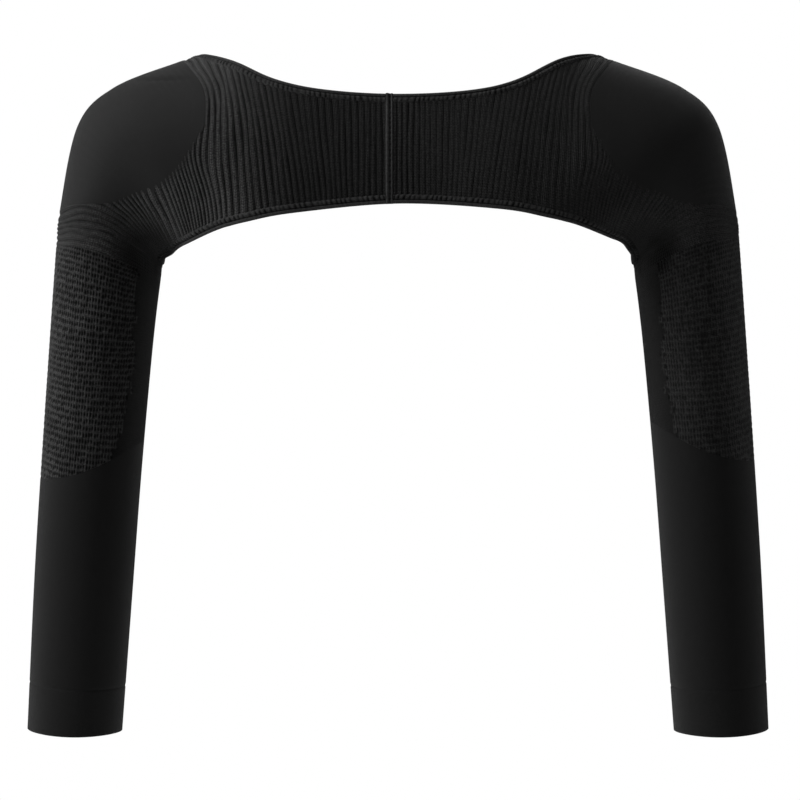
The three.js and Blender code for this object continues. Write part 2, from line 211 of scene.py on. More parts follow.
HEM_STITCH = 3.2            # length of one stitch along the hem
HEM_STITCH_LIFT = 1.0
HEM_STITCH_LEVEL = 0.6      # share of a stitch's height that lies below the section
HEM_STITCH_PAINTED_SHADE = 1.5       # painted shade: how dark the gaps between stitches are drawn
HEM_STITCH_SLANT = 0.55     # stitches lean by this share of a stitch across the hem
HEM_STITCH_WANDER = ((0.22, 5.3), (0.16, 2.1))      # shares of a stitch, and wave lengths
HEM_STITCH_STRENGTH = (0.75, 0.25, 3.7)     # middle, change, and wave length
HEM_STEPS_PER_STITCH = 8
# Under the arm the hem is drawn thin: place on the edge, half width, share lost
HEM_THIN = (8.0, 0.6, 0.75)
HEM_EASE = 9.0              # length over which the hem's ends are squared to the seam

# Seam section: share of the width, height over the rib crests, how far stitches lift it
SEAM_SECTION = np.array([
    # share height lift
    (-0.5, -0.5, 0.0), (-0.48, -0.05, 0.1), (-0.44, 0.32, 0.2), (-0.36, 0.58, 0.25), (-0.27, 0.65, 0.25),
    (-0.18, 0.58, 0.3), (-0.1, 0.32, 0.5), (-0.03, -0.1, 0.9), (0.03, -0.32, 1.0), (0.11, -0.36, 1.0),
    (0.18, -0.28, 0.9), (0.24, 0.0, 0.5), (0.3, 0.25, 0.3), (0.37, 0.34, 0.25), (0.43, 0.22, 0.2),
    (0.48, -0.15, 0.1), (0.5, -0.5, 0.0),
])
SEAM_STITCH = 3.4
SEAM_STITCH_LIFT = 0.5
SEAM_STITCH_LEVEL = 0.5     # share of a stitch's height that lies below the section
SEAM_STITCH_WANDER = (0.12, 4.1)    # share of a stitch, and wave length
SEAM_PAINTED_SHADE = 0.7             # painted shade: how dark the valley between the ridges is drawn
SEAM_DARK_FROM = 0.2        # height below which it turns dark
SEAM_DARK_OVER = 0.5        # and the depth over which it does
SEAM_DARK_STITCH = 1.2      # less the stitch's height, which is up to 1
SEAM_ROWS = 240

# Pulled crease across the top of the left cap: x from, x to, z, depth, half width
CAP_CREASE = (-172.0, -126.0, 11.5, 0.5, 1.1)
CAP_CREASE_END = 60.0       # y at which it ends toward the front

INNER_ARM_PAINTED_SHADE = 0.97           # painted shade: plain knit beside the mesh, on the inner arm, is drawn this much darker
SLEEVE_PAINTED_SHADE = 0.75          # painted shade: the lower sleeve and cuff are drawn darker than the cap by this much
KNIT_STRETCH = 1.1          # girth when worn over girth as cut
SLEEVE_COLUMNS = 160
SLEEVE_INNER_ROWS = 14
FOREARM_ROWS = 110
CUFF_ROWS = 60
CUFF_LINE = 0.35            # groove where the cuff is turned up
CUFF_LINE_HALF = 0.6
CUFF_ROLL = 0.7             # rounding of the cuff's lower edge
LEAST_ROLL = 0.01
SHARP_ANGLE = math.radians(70)


def smooth_rows(table, t, start_mirror=None, end_mirror=None):
    """Rows of a table at the places t: a cubic through the two nearest rows with the slope of their
    neighbours. Beyond an end the table goes on as its mirror image, or straight where none is given."""
    last = len(table) - 1
    i = np.clip(np.floor(t).astype(int), 0, last - 1)
    u = (t - i)[..., None]
    a, b = table[i], table[i + 1]
    first_before = 2 * table[0] - table[1] if start_mirror is None else table[1] * start_mirror
    last_after = 2 * table[last] - table[last - 1] if end_mirror is None else table[last - 1] * end_mirror
    before = np.where(i[..., None] > 0, table[np.maximum(i - 1, 0)], first_before)
    after = np.where(i[..., None] + 2 <= last, table[np.minimum(i + 2, last)], last_after)
    slope_a, slope_b = (b - before) / 2, (after - a) / 2
    v, w = u**2, u**3
    return (2 * w - 3 * v + 1) * a + (w - 2 * v + u) * slope_a + (3 * v - 2 * w) * b + (w - v) * slope_b


def skin(ring, degrees):
    """Outer face of the right half. A ring is half an ellipse behind and half in front of the line from its
    inner to its outer point, depth deep, shifted in X by turn times how far back it is, and in Z by rise
    times the square of that over the depth. Behind the armpit it is pushed in by a bell-shaped hollow."""
    ring, degrees = np.broadcast_arrays(np.asarray(ring, float), np.asarray(degrees, float))
    row = np.moveaxis(smooth_rows(RINGS, np.abs(ring), RING_MIRROR), -1, 0)
    outer_x, outer_z, inner_x, inner_z, mid_y, depth, turn, rise = row[:-1]
    across = -np.cos(np.radians(degrees))
    back = depth * np.sin(np.radians(degrees))
    x = (outer_x + inner_x) / 2 + across * (outer_x - inner_x) / 2 - back * turn
    z = (outer_z + inner_z) / 2 + across * (outer_z - inner_z) / 2 - rise * back**2 / depth
    place_x, place_z, half_x, half_z, sunk = ARMPIT
    bell = np.exp(-((x - place_x) / half_x)**2 - ((z - place_z) / half_z)**2)
    y = mid_y - back + sunk * bell * np.clip(back / ARMPIT_EASE, 0, 1)
    return np.stack([np.where(ring < 0, -x, x), y, z], -1)


def unit(v):
    """Vectors of length one."""
    return v / np.linalg.norm(v, axis=-1, keepdims=True)


def directions(ring, degrees):
    """How the skin runs along the garment and round it, and its outward normal, from small steps."""
    along = (skin(ring + RING_STEP, degrees) - skin(ring - RING_STEP, degrees)) / (2 * RING_STEP)
    around = (skin(ring, degrees + ANGLE_STEP) - skin(ring, degrees - ANGLE_STEP)) / (2 * ANGLE_STEP)
    return along, around, unit(np.cross(along, around))


def raised(ring, degrees, height):
    """Skin moved out along its normal."""
    return skin(ring, degrees) + directions(ring, degrees)[2] * np.asarray(height)[..., None]


def opening_at(t, side):
    """Ring and angle on the opening edge, from its table; past both ends it goes on into the other half."""
    past = np.where(t > OPENING_END, 2 * OPENING_END - t, t)
    sign = np.where((t < 0) | (t > OPENING_END), -1, 1)
    rows = smooth_rows(OPENING, np.abs(past), OPENING_MIRROR, OPENING_MIRROR)
    ring, degrees, lean = np.moveaxis(rows, -1, 0)
    return sign * ring, degrees + side * sign * lean


def inset(t, side, mm):
    """Ring and angle reached from the opening edge by walking mm over the skin, square to the edge."""
    ring, degrees = opening_at(t, side)
    ahead = skin(*opening_at(t + EDGE_STEP, side)) - skin(*opening_at(t - EDGE_STEP, side))
    inward = unit(np.cross(directions(ring, degrees)[2], ahead))
    ring, degrees, mm = np.broadcast_arrays(ring, degrees, mm)
    for _ in range(INSET_STEPS):
        along, around, _normal = directions(ring, degrees)
        aa, ar, rr = (along**2).sum(-1), (along * around).sum(-1), (around**2).sum(-1)
        pa = (along * inward).sum(-1) * mm / INSET_STEPS
        pr = (around * inward).sum(-1) * mm / INSET_STEPS
        det = aa * rr - ar**2
        ring = ring + (pa * rr - pr * ar) / det
        degrees = degrees + (pr * aa - pa * ar) / det
    return ring, degrees


def seam_side(side, under):
    """Ring number of a half's centre edge, lying under the seam by a distance."""
    return (side * SEAM_X + SEAM_WIDTH / 2 - under) / CENTRE_RING


def lay(ring, degrees):
    """Ring number with the ribs' bow behind the shoulder: a bell toward the neck above, and one toward the
    arm below."""
    upper = np.exp(-((degrees - RIB_BOW_UP[0]) / RIB_BOW_UP[1])**2)
    lower = np.exp(-((degrees - RIB_BOW_DOWN[0]) / RIB_BOW_DOWN[1])**2)
    return ring + RIB_BOW * (lower - upper) * np.exp(-((ring - RIB_BOW_RING[0]) / RIB_BOW_RING[1])**2)


def rib_columns(side, lines):
    """Columns of the rib knit, eight to a rib and one on each line given: their ring, their rib number, and
    how many rings one rib takes there."""
    ring = np.linspace(seam_side(side, TUCK), MESH_TOP - side * MESH_TOP_PULL, RIB_SAMPLES)
    ribs = np.sign(ring) * smooth_rows(RINGS, np.abs(ring), RING_MIRROR)[:, -1]
    ribs = ribs - (1 - RIB_SHARE[side]) * np.clip(ribs, -RIB_SHARE_END, RIB_SHARE_END) + RIB_SHIFT[side]
    counts = (np.arange(math.floor(ribs[0]), math.ceil(ribs[-1]) + 1)[:, None] + RIB_POINTS).ravel()
    counts = counts[(counts > ribs[0]) & (counts < ribs[-1])]
    columns = np.unique(np.concatenate([np.interp(counts, ribs, ring), [ring[0], ring[-1]], lines]))
    return columns, np.interp(columns, ring, ribs), np.interp(columns, ring, np.gradient(ring, ribs))


def in_armpit(points):
    """How far points lie in the armpit's hollow: 1 in its middle, falling evenly to 0 across its rim. It
    flattens the ribs there and weighs the painted shade of the armpit.
    """
    away = np.hypot(np.abs(points[..., 0]) - ARMPIT[0], points[..., 2] - ARMPIT[1])
    return np.clip((ARMPIT_RIM[1] - away) / (ARMPIT_RIM[1] - ARMPIT_RIM[0]), 0, 1)


def cap_edge(ring, phase):
    """Angles of the cap's edge behind and in front: a smooth curve through its table, with each rib reaching
    into the cap like a cosine wave."""
    at, back, front = smooth_rows(CAP_EDGE, np.linspace(0, len(CAP_EDGE) - 1, CAP_SAMPLES)).T
    grow = np.clip((ring - CAP_START) / RIB_TOOTH_FADE[0], 0, 1)
    end = np.clip((CAP_END - ring) / RIB_TOOTH_FADE[1], 0, 1)
    tooth = RIB_TOOTH * np.cos(2 * np.pi * phase) * grow * end
    return np.interp(ring, at, back) + tooth, np.interp(ring, at, front) - tooth


def mesh_end(degrees, side):
    """Ring number of the mesh panel's lower end, slanting down to the outer arm."""
    angle = np.radians(degrees)
    return MESH_END - side * MESH_END_PULL - MESH_END_SLANT * np.cos(angle) + MESH_END_BOW * np.sin(angle)**2


def run_length(points, axis):
    """Distance walked along one axis of a grid of points, from its first row."""
    step = np.linalg.norm(np.diff(points, axis=axis), axis=-1)
    start = np.zeros_like(np.take(step, [0], axis=axis))
    return np.concatenate([start, np.cumsum(step, axis=axis)], axis=axis)


def closed_round(points):
    """Grid with its first column repeated at the end."""
    return np.concatenate([points, points[:, :1]], axis=1)


def cut_size(points, keep=True):
    """Flat cut of a panel in metres. Its sides are its longest runs both ways over the worn surface, drawn in
    together where a bent panel fills less than half of that, and its area is the sum of its cells; width and
    area are less by what the knit is stretched when worn."""
    corner = points[1:, 1:] - points[:-1, :-1], points[1:, :-1] - points[:-1, 1:]
    area = (np.linalg.norm(np.cross(*corner), axis=-1) / 2 * keep).sum() * MM**2
    width = run_length(points, 1).max() * MM
    length = run_length(points, 0).max() * MM
    bent = min(1, math.sqrt(2 * area / (width * length)))
    return (width * bent / KNIT_STRETCH, length * bent), area / KNIT_STRETCH


def build_mesh(name, side, points, faces, places, marks):
    """Mesh in metres from points in mm, with its place on the knit as UV; the left half is mirrored."""
    step = 1 if side > 0 else -1
    corners = [face[:, ::step] for face in faces]
    used, index = np.unique(np.concatenate([c.ravel() for c in corners]), return_inverse=True)
    starts = np.cumsum([0] + [c.size for c in corners])
    lists = [index[a:b].reshape(c.shape).tolist() for a, b, c in zip(starts, starts[1:], corners)]
    mesh = bpy.data.meshes.new(name)
    mesh.from_pydata((points[used] * (side * MM, MM, MM)).tolist(), [], sum(lists, []))
    uv = np.concatenate([place[:, ::step].reshape(-1, 2) for place in places])
    mesh.uv_layers.new(name="knit").data.foreach_set("uv", uv.astype(np.float32).ravel())
    for mark, values in marks.items():
        data = mesh.attributes.new(mark, "FLOAT", "POINT").data
        data.foreach_set("value", values[used].astype(np.float32))
    mesh.shade_smooth()
    mesh.set_sharp_from_angle(angle=SHARP_ANGLE)
    piece = bpy.data.objects.new(name, mesh)
    bpy.context.scene.collection.objects.link(piece)
    return piece


def grid_cells(shape):
    """Corner numbers of every cell of a grid, first along its first axis."""
    n = np.arange(shape[0] * shape[1]).reshape(shape)
    return np.stack([n[:-1, :-1], n[1:, :-1], n[1:, 1:], n[:-1, 1:]], -1)


def wall(name, side, outer, inner, cells, ids, place, marks):
    """Closed knit wall: outer cells, the same cells turned over on the inner points, and a strip of faces
    along every edge that only one cell uses. ids names the point each grid point stands for."""
    count = ids.size
    corners = ids.ravel()[cells]
    ahead = np.roll(corners, -1, axis=1)
    free = ~np.isin(ahead * count + corners, corners * count + ahead)
    first, second = cells[free], np.roll(cells, -1, axis=1)[free]
    rim = np.stack([second, first, first, second], -1)
    faces = [corners, corners[:, ::-1] + count, ids.ravel()[rim] + np.array([0, 0, count, count])]
    place = place.reshape(-1, 2)
    places = [place[cells], place[cells[:, ::-1]], place[rim]]
    points = np.concatenate([outer.reshape(-1, 3), inner.reshape(-1, 3)])
    marks = {mark: np.tile(values.ravel(), 2) for mark, values in marks.items()}
    return build_mesh(name, side, points, faces, places, marks)


def tube(name, side, outer, first, last, inner, place, marks):
    """Closed length of sleeve. Outer grid rows run down the arm and its columns round it; each column has its
    own first and last row. The inner grid has the same columns, and two strips join the ends."""
    rows, columns = outer.shape[:2]
    held = np.clip(np.arange(rows)[:, None], first[None, :], last[None, :])
    ids = held * columns + np.arange(columns)
    ids = np.concatenate([ids, ids[:, :1]], axis=1)
    cells = grid_cells(ids.shape).reshape(-1, 4)
    corners = ids.ravel()[cells]
    halves = np.concatenate([cells[:, [0, 1, 2]], cells[:, [0, 2, 3]]])
    whole = (corners[:, 0] != corners[:, 1]) & (corners[:, 2] != corners[:, 3])
    cut = ids.ravel()[halves]
    thin = (cut[:, 0] == cut[:, 1]) | (cut[:, 1] == cut[:, 2]) | (cut[:, 0] == cut[:, 2])
    halves = halves[~thin & ~np.tile(whole, 2)]
    cells = cells[whole]

    inner_ids = outer.shape[0] * columns + np.arange(inner.shape[0] * columns).reshape(-1, columns)
    inner_ids = np.concatenate([inner_ids, inner_ids[:, :1]], axis=1)
    inner_cells = grid_cells(inner_ids.shape).reshape(-1, 4)[:, ::-1]
    end = ids[-1]
    top = np.stack([ids[0, :-1], ids[0, 1:], inner_ids[0, 1:], inner_ids[0, :-1]], -1)
    foot = np.stack([end[1:], end[:-1], inner_ids[-1, :-1], inner_ids[-1, 1:]], -1)
    faces = [ids.ravel()[cells], ids.ravel()[halves], inner_ids.ravel()[inner_cells], top, foot]

    outer_place = place.reshape(-1, 2)
    share = np.linspace(0, rows - 1, inner.shape[0]).astype(int)
    inner_place = place[share].reshape(-1, 2)
    top_place = np.stack([place[0, :-1], place[0, 1:], place[0, 1:], place[0, :-1]], 1)
    foot_place = np.stack([place[-1, 1:], place[-1, :-1], place[-1, :-1], place[-1, 1:]], 1)
    places = [outer_place[cells], outer_place[halves], inner_place[inner_cells], top_place, foot_place]
    points = np.concatenate([outer.reshape(-1, 3), inner.reshape(-1, 3)])
    blank = np.zeros(inner.shape[0] * columns)
    marks = {mark: np.concatenate([values.ravel(), blank]) for mark, values in marks.items()}
    return build_mesh(name, side, points, faces, places, marks)


def rib_profile(phase):
    """Depth share of the rib surface, 0 on the crest and 1 in the groove: a mean of a round cord and a
    cosine."""
    off = 2 * np.abs(phase - np.round(phase))
    cord = (1 - np.sqrt(1 - RIB_ROUND * off**2)) / (1 - math.sqrt(1 - RIB_ROUND))
    return cord + RIB_WAVE * ((1 - np.cos(np.pi * off)) / 2 - cord)


def yoke_grid(side):
    """Columns along the ribs, and rows from the lower hem over the back to the front hem in three bands, so
    that the cap's cells can be left out; past both ends of the cap the bands keep their shares. Under the
    arm, past the tip of the opening, the first and last rows are one. The ribs lean by a squared sine along
    the back, toward the centre below and away from it above."""
    t = np.linspace(-OPENING_PAST, OPENING_END + OPENING_PAST, EDGE_SAMPLES)
    edge_ring, edge_angle = inset(t, side, HEM_WIDTH - TUCK)
    tip = int(np.argmax(edge_ring))
    columns, phase, rate = rib_columns(side, (CAP_START, edge_ring[tip], CAP_END))
    along = (columns - RIB_LEAN_RINGS[0]) / (RIB_LEAN_RINGS[1] - RIB_LEAN_RINGS[0])
    lean = RIB_LEAN * np.sin(np.pi * np.clip(along, 0, 1))**2
    low = np.interp(columns - lean, edge_ring[:tip + 1], edge_angle[:tip + 1])
    high = np.interp(columns + lean, edge_ring[tip:][::-1], edge_angle[tip:][::-1]) + 360
    closed = columns >= edge_ring[tip]
    low[closed], high[closed] = edge_angle[tip], edge_angle[tip] + 360

    back, front = cap_edge(columns, phase)
    for line, beyond in ((CAP_START, columns < CAP_START), (CAP_END, columns > CAP_END)):
        k = int(np.argmin(np.abs(columns - line)))
        share = (np.array([back[k], front[k]]) - low[k]) / (high[k] - low[k])
        back[beyond] = low[beyond] + share[0] * (high - low)[beyond]
        front[beyond] = low[beyond] + share[1] * (high - low)[beyond]
    bands = ((low, back, BACK_ROWS), (back, front, CAP_SIDE_ROWS), (front, high, FRONT_ROWS))
    degrees = [a[:, None] + (b - a)[:, None] * np.arange(n) / n for a, b, n in bands]
    degrees = np.concatenate(degrees + [high[:, None]], axis=1)
    up = (2 * degrees - (low + high)[:, None]) / (high - low)[:, None]
    laid = lay(columns[:, None], degrees) + lean[:, None] * up
    return columns[:, None], phase[:, None], rate[:, None], degrees, laid, closed


def rib_sway(columns, number, turn):
    """Sideways wander of the ribs in shares of the most: a sum of sines of the rib's number and the angle. It
    dies out at the hems, at the cap's edges and ends, and at the mesh."""
    sway = sum(share * np.sin(a * number + b * turn + start) for share, a, b, start in RIB_SWAY_WAVES)
    rows = np.arange(turn.shape[1])[None, :]
    loose = np.sin(np.pi * rows / rows.max())**0.5
    near = np.minimum(np.abs(columns - CAP_START), np.abs(columns - CAP_END))
    loose = loose * np.clip(near / RIB_SWAY_FADE, 0, 1)
    loose = loose * np.clip((columns[-1] - columns) / RIB_SWAY_FADE, 0, 1)
    inside = (columns > CAP_START) & (columns < CAP_END)
    band = np.where(rows <= BACK_ROWS, rows / BACK_ROWS, (rows - BACK_ROWS - CAP_SIDE_ROWS) / FRONT_ROWS)
    loose = np.where(inside, loose * np.sin(np.pi * np.clip(band, 0, 1)), loose)
    return sway * loose / RIB_SWAY_WAVES[:, 0].sum()


def yoke(name, side):
    """Rib knit from the seam to the mesh, on the yoke's grid. Ribs are cords that sway a little, differ in
    depth by a product of sines, and die out in the hollow of the armpit. The inner face has faint ribs
    between them."""
    columns, phase, rate, degrees, laid, closed = yoke_grid(side)
    number = np.round(phase)
    turn = np.radians(degrees)
    smooth = skin(laid, degrees)
    places = laid + RIB_SWAY * rib_sway(columns, number, turn) * rate

    sunk = in_armpit(smooth)
    waves = [np.sin(a * number + b * turn) for a, b in RIB_UNEVEN_WAVES]
    uneven = np.clip(1 + RIB_UNEVEN * np.prod(waves, axis=0), *RIB_UNEVEN_LIMITS)
    at, depth, painted_shade = RIB_STATE[side].T
    groove = rib_profile(phase) * uneven * (1 - sunk) * np.interp(columns, at, depth)
    # Painted shade: the grooves are drawn darker by their depth, and the armpit's hollow darker still
    dark = np.maximum(groove, ARMPIT_PAINTED_SHADE * sunk)
    # Painted shade along the half, from the last column of its table
    dark = 1 - (1 - dark) * (1 - np.interp(columns, at, painted_shade))
    between = np.broadcast_to(1 - rib_profile(phase + 0.5), degrees.shape)
    outer = raised(places, degrees, -RIB_DEPTH * groove)
    inner = raised(places, degrees, RIB_INNER * between - RIB_WALL)

    middle = (columns[:-1] + columns[1:]) / 2
    row = np.arange(degrees.shape[1] - 1)[None, :] - BACK_ROWS
    hole = (middle > CAP_START) & (middle < CAP_END) & (row >= 0) & (row < CAP_SIDE_ROWS)
    ids = np.arange(degrees.size).reshape(degrees.shape)
    ids[closed, -1] = ids[closed, 0]
    place = np.stack([np.broadcast_to(phase * RIB_PITCH, degrees.shape), run_length(smooth, 1)], -1)
    piece = wall(name, side, outer, inner, grid_cells(degrees.shape)[~hole], ids, place, {"dark": dark})
    return piece, cut_size(smooth, ~hole)


def shoulder_cap(name, side):
    """Smooth cap: straight lines of angle from its back edge to its front edge, ring by ring. On the left a
    shallow crease lies across its top, a bell-shaped groove that fades at both ends."""
    columns, phase, _ = rib_columns(side, (CAP_START, CAP_END))
    inside = (columns >= CAP_START) & (columns <= CAP_END)
    columns, phase = columns[inside], phase[inside]
    back, front = cap_edge(columns, phase)
    degrees = back[:, None] + (front - back)[:, None] * np.linspace(0, 1, CAP_ROWS)
    ring = lay(columns[:, None], degrees)
    smooth = skin(ring, degrees)
    x_from, x_to, z, depth, half = CAP_CREASE
    along = np.clip((side * smooth[..., 0] - x_from) / (x_to - x_from), 0, 1)
    behind = smooth[..., 1] < CAP_CREASE_END
    crease = depth * np.exp(-((smooth[..., 2] - z) / half)**2) * np.sin(np.pi * along) * behind
    outer = raised(ring, degrees, -crease)
    inner = raised(ring, degrees, np.full(degrees.shape, -KNIT_WALL))
    place = np.stack([run_length(smooth, 0), run_length(smooth, 1)], -1)
    ids = np.arange(degrees.size).reshape(degrees.shape)
    cells = grid_cells(degrees.shape).reshape(-1, 4)
    # Painted shade: the crease is drawn darker by its depth
    piece = wall(name, side, outer, inner, cells, ids, place, {"dark": crease / depth})
    return piece, cut_size(smooth)


def scatter(column, row):
    """Two numbers from 0 to 1 for each cell of the mesh, without order: the fraction of a large sine, and the
    fraction of a multiple of that."""
    per_column, per_row, large, multiple = CELL_SCATTER
    first = large * np.sin(per_column * column + per_row * row)
    first = first - np.floor(first)
    return first, multiple * first - np.floor(multiple * first)


def mesh_grid(side):
    """Angles round the arm, ring number of each grid point, its knitted row, and each column's first and last
    grid rows. Grid rows follow the knitted rows, which hang lower behind, and those past the panel's top or
    slanting end are drawn in to it."""
    top = MESH_TOP - side * MESH_TOP_PULL
    fine = np.arange(0, 360, CELL_DEGREES / CELL_COLUMN_POINTS)
    plain = (fine < MESH_PLAIN) | (fine > 360 - MESH_PLAIN)
    whole = np.isclose(fine % CELL_DEGREES, 0) | np.isclose(fine % CELL_DEGREES, CELL_DEGREES)
    degrees = fine[~plain | whole]
    turn = np.radians(degrees)
    hang = MESH_ROW_TILT * np.cos(turn) + MESH_ROW_SAG * np.sin(turn)
    foot = mesh_end(degrees, side)
    at, rows = MESH_ROWS.T
    count = (np.arange(*MESH_COUNT)[:, None] + CELL_ROW_POINTS).reshape(-1, 1)
    free = np.interp(count + hang, rows, at)
    first = np.sum(free <= top, axis=0) - 1
    last = np.sum(free < foot, axis=0)
    start = first.min()
    ring = np.clip(free, top, foot)[start:last.max() + 1]
    return degrees, ring, np.interp(ring, at, rows) - hang, first - start, last - start


def upper_arm(name, side):
    """Mesh knit. Each eyelet is a cone with a flat floor near the middle of its cell, uneven in size and
    place, and the rows between stand up as parabolic ridges. The inner arm, inside an edge that wanders
    about its table, is plain."""
    degrees, ring, row, first, last = mesh_grid(side)
    column = np.broadcast_to(degrees / CELL_DEGREES, ring.shape)
    off_row = row - np.round(row)
    off_column = column - np.round(column)
    chance, second = scatter(np.round(column), np.round(row))
    edge = np.interp(ring, *MESH_EDGE.T) + MESH_RAGGED * (second - 0.5)
    middle = np.round(column) * CELL_DEGREES
    open_knit = (middle > edge) & (middle < 360 - edge)
    size = 1 + EYELET_UNEVEN * (chance - 0.5)
    stray = EYELET_STRAY * np.sin(2 * np.pi * second)
    away = np.hypot((off_column - stray) / EYELET_HALF[0], (off_row + stray) / EYELET_HALF[1]) / size
    eyelet = np.clip(EYELET_POINT - EYELET_SLOPE * away, 0, 1) * open_knit * EYELET_OPEN[side]
    ridge = ((2 * off_row)**2 - MESH_RIDGE_LEVEL) * open_knit
    outer = raised(ring, degrees, MESH_RIDGE * ridge - EYELET_DEPTH * eyelet)
    top, foot = ring[0], ring[-1]
    inner_ring = top + (foot - top) * np.linspace(0, 1, MESH_INNER_ROWS)[:, None]
    inner = raised(inner_ring, degrees, np.full(inner_ring.shape, -KNIT_WALL))
    smooth = skin(ring, degrees)
    # Painted shade: the mesh is drawn darker away from the outer arm, more on the right arm
    painted_shade = MESH_PAINTED_SHADE[side] * (1 - np.clip(-np.cos(np.radians(degrees)), 0, 1)**2)
    # Painted shade in the eyelets by their depth, times the random darker flecks of each cell and the painted
    # shade away from the outer arm
    fleck_and_painted_shade = (1 - eyelet) * (1 - MESH_FLECK * second) * (1 - painted_shade)
    # Painted shade on the plain inner arm and in the armpit's hollow
    dark = np.maximum(np.where(open_knit, 1 - fleck_and_painted_shade, INNER_ARM_PAINTED_SHADE), ARMPIT_PAINTED_SHADE * in_armpit(smooth))
    place = np.stack([column, row], -1)
    place = np.concatenate([place, place[:, :1] + np.array([360 / CELL_DEGREES, 0])], axis=1)
    piece = tube(name, side, outer, first, last, inner, place, {"dark": dark})
    return piece, cut_size(closed_round(smooth))


def cuff_line(degrees, side):
    """Ring number of the line where the cuff is turned up, the same all round."""
    return np.full(np.shape(degrees), CUFF_START)


def wrist_line(degrees, side):
    """Ring number of the wrist end, the last ring of the table."""
    return np.full(np.shape(degrees), len(RINGS) - 1.0)


def plain_sleeve(name, side, lines, rows, thickness, groove_at, roll):
    """Plain knit between two lines across the arm. A bell-shaped groove runs along the cuff line, at the foot
    of the forearm and the top of the cuff, and the cuff's lower edge is rounded like a quarter circle."""
    degrees = np.arange(SLEEVE_COLUMNS) * 360 / SLEEVE_COLUMNS
    share = np.linspace(0, 1, rows)[:, None]
    top, foot = (line(degrees, side) for line in lines)
    ring = top + (foot - top) * share
    degrees = np.broadcast_to(degrees, ring.shape)
    smooth = skin(ring, degrees)
    run = run_length(smooth, 0)
    to_foot = run[-1:] - run
    to_groove = run if groove_at == "top" else to_foot
    height = -CUFF_LINE * np.exp(-(to_groove / CUFF_LINE_HALF)**2)
    rolled = np.clip(1 - to_foot / max(roll, LEAST_ROLL), 0, 1)
    height = height - roll * (1 - np.sqrt(1 - rolled**2))
    outer = raised(ring, degrees, height)
    pick = np.linspace(0, rows - 1, SLEEVE_INNER_ROWS).astype(int)
    inner = raised(ring[pick], degrees[pick], np.full(ring[pick].shape, -thickness))
    girth = np.linalg.norm(np.roll(smooth, -1, 1) - smooth, axis=-1).sum(1).mean()
    place = np.stack([degrees / 360 * girth, run], -1)
    place = np.concatenate([place, place[:, :1] + np.array([girth, 0])], axis=1)
    first = np.zeros(SLEEVE_COLUMNS, int)
    # Painted shade: the lower sleeve and cuff are drawn darker all over
    dark = np.full(ring.shape, SLEEVE_PAINTED_SHADE)
    piece = tube(name, side, outer, first, first + rows - 1, inner, place, {"dark": dark})
    return piece, cut_size(closed_round(smooth))


def hem(name, side):
    """Turned hem: its section, a bead and a stitched ridge, is carried along the opening edge from seam to
    seam. Leaning stitches lift the ridge by the root of a sine, a little uneven in length. Under the arm the
    hem is thinned by a bell, and both ends are squared to the seam."""
    start = seam_side(side, 0)
    dense = np.linspace(start, OPENING_END - start, HEM_SAMPLES)
    length = run_length(skin(*opening_at(dense, side)), 0)
    steps = int(length[-1] / HEM_STITCH * HEM_STEPS_PER_STITCH)
    run = np.linspace(0, length[-1], steps)[:, None]
    t = np.interp(run, length, dense)
    share, height, lift = HEM_SECTION.T
    ring, degrees = inset(t, side, share * HEM_WIDTH)
    ease = np.clip(1 - run / HEM_EASE, 0, 1)
    ring = ring + (start - ring[:1]) * ease + (start - ring[-1:]) * ease[::-1]

    wander = sum(part * np.sin(run / wave) for part, wave in HEM_STITCH_WANDER)
    stitch = np.abs(np.sin(np.pi * (run / HEM_STITCH + wander - HEM_STITCH_SLANT * share)))
    steady, change, wave = HEM_STITCH_STRENGTH
    strength = steady + change * np.sin(run / wave)
    thin_at, thin_half, thin_share = HEM_THIN
    thin = 1 - thin_share * np.exp(-((t - thin_at) / thin_half)**2)
    height = np.where(height > 0, height * thin, height)
    lifted = HEM_STITCH_LIFT * lift * strength * thin * (np.sqrt(stitch) - HEM_STITCH_LEVEL)
    points = raised(ring, degrees, height + lifted)
    # Painted shade: a dark line along the groove between bead and stitches
    groove = np.exp(-((share - HEM_GROOVE) / HEM_GROOVE_HALF)**2)
    # Painted shade in the gaps between the stitches
    dark = np.clip(HEM_STITCH_PAINTED_SHADE * lift * (1 - stitch) * strength + groove, 0, 1)
    # Painted shade of the armpit's hollow, on the hem too
    dark = np.maximum(dark, ARMPIT_PAINTED_SHADE * in_armpit(points))

    n = len(HEM_SECTION)
    ids = np.arange(steps * n).reshape(steps, n)
    ids = np.concatenate([ids, ids[:, :1]], axis=1)
    cells = grid_cells(ids.shape).reshape(-1, 4)
    around = np.append(share, HEM_WRAP) * HEM_WIDTH
    place = np.stack(np.broadcast_arrays(run, around), -1).reshape(-1, 2)
    ends = np.stack([ids[0, :-1], ids[-1, -2::-1]])
    end_place = np.stack([place[:n], place[-2:-2 - n:-1]])
    faces = [ids.ravel()[cells], ends]
    places = [place[cells], end_place]
    return build_mesh(name, side, points.reshape(-1, 3), faces, places, {"dark": dark.ravel()})


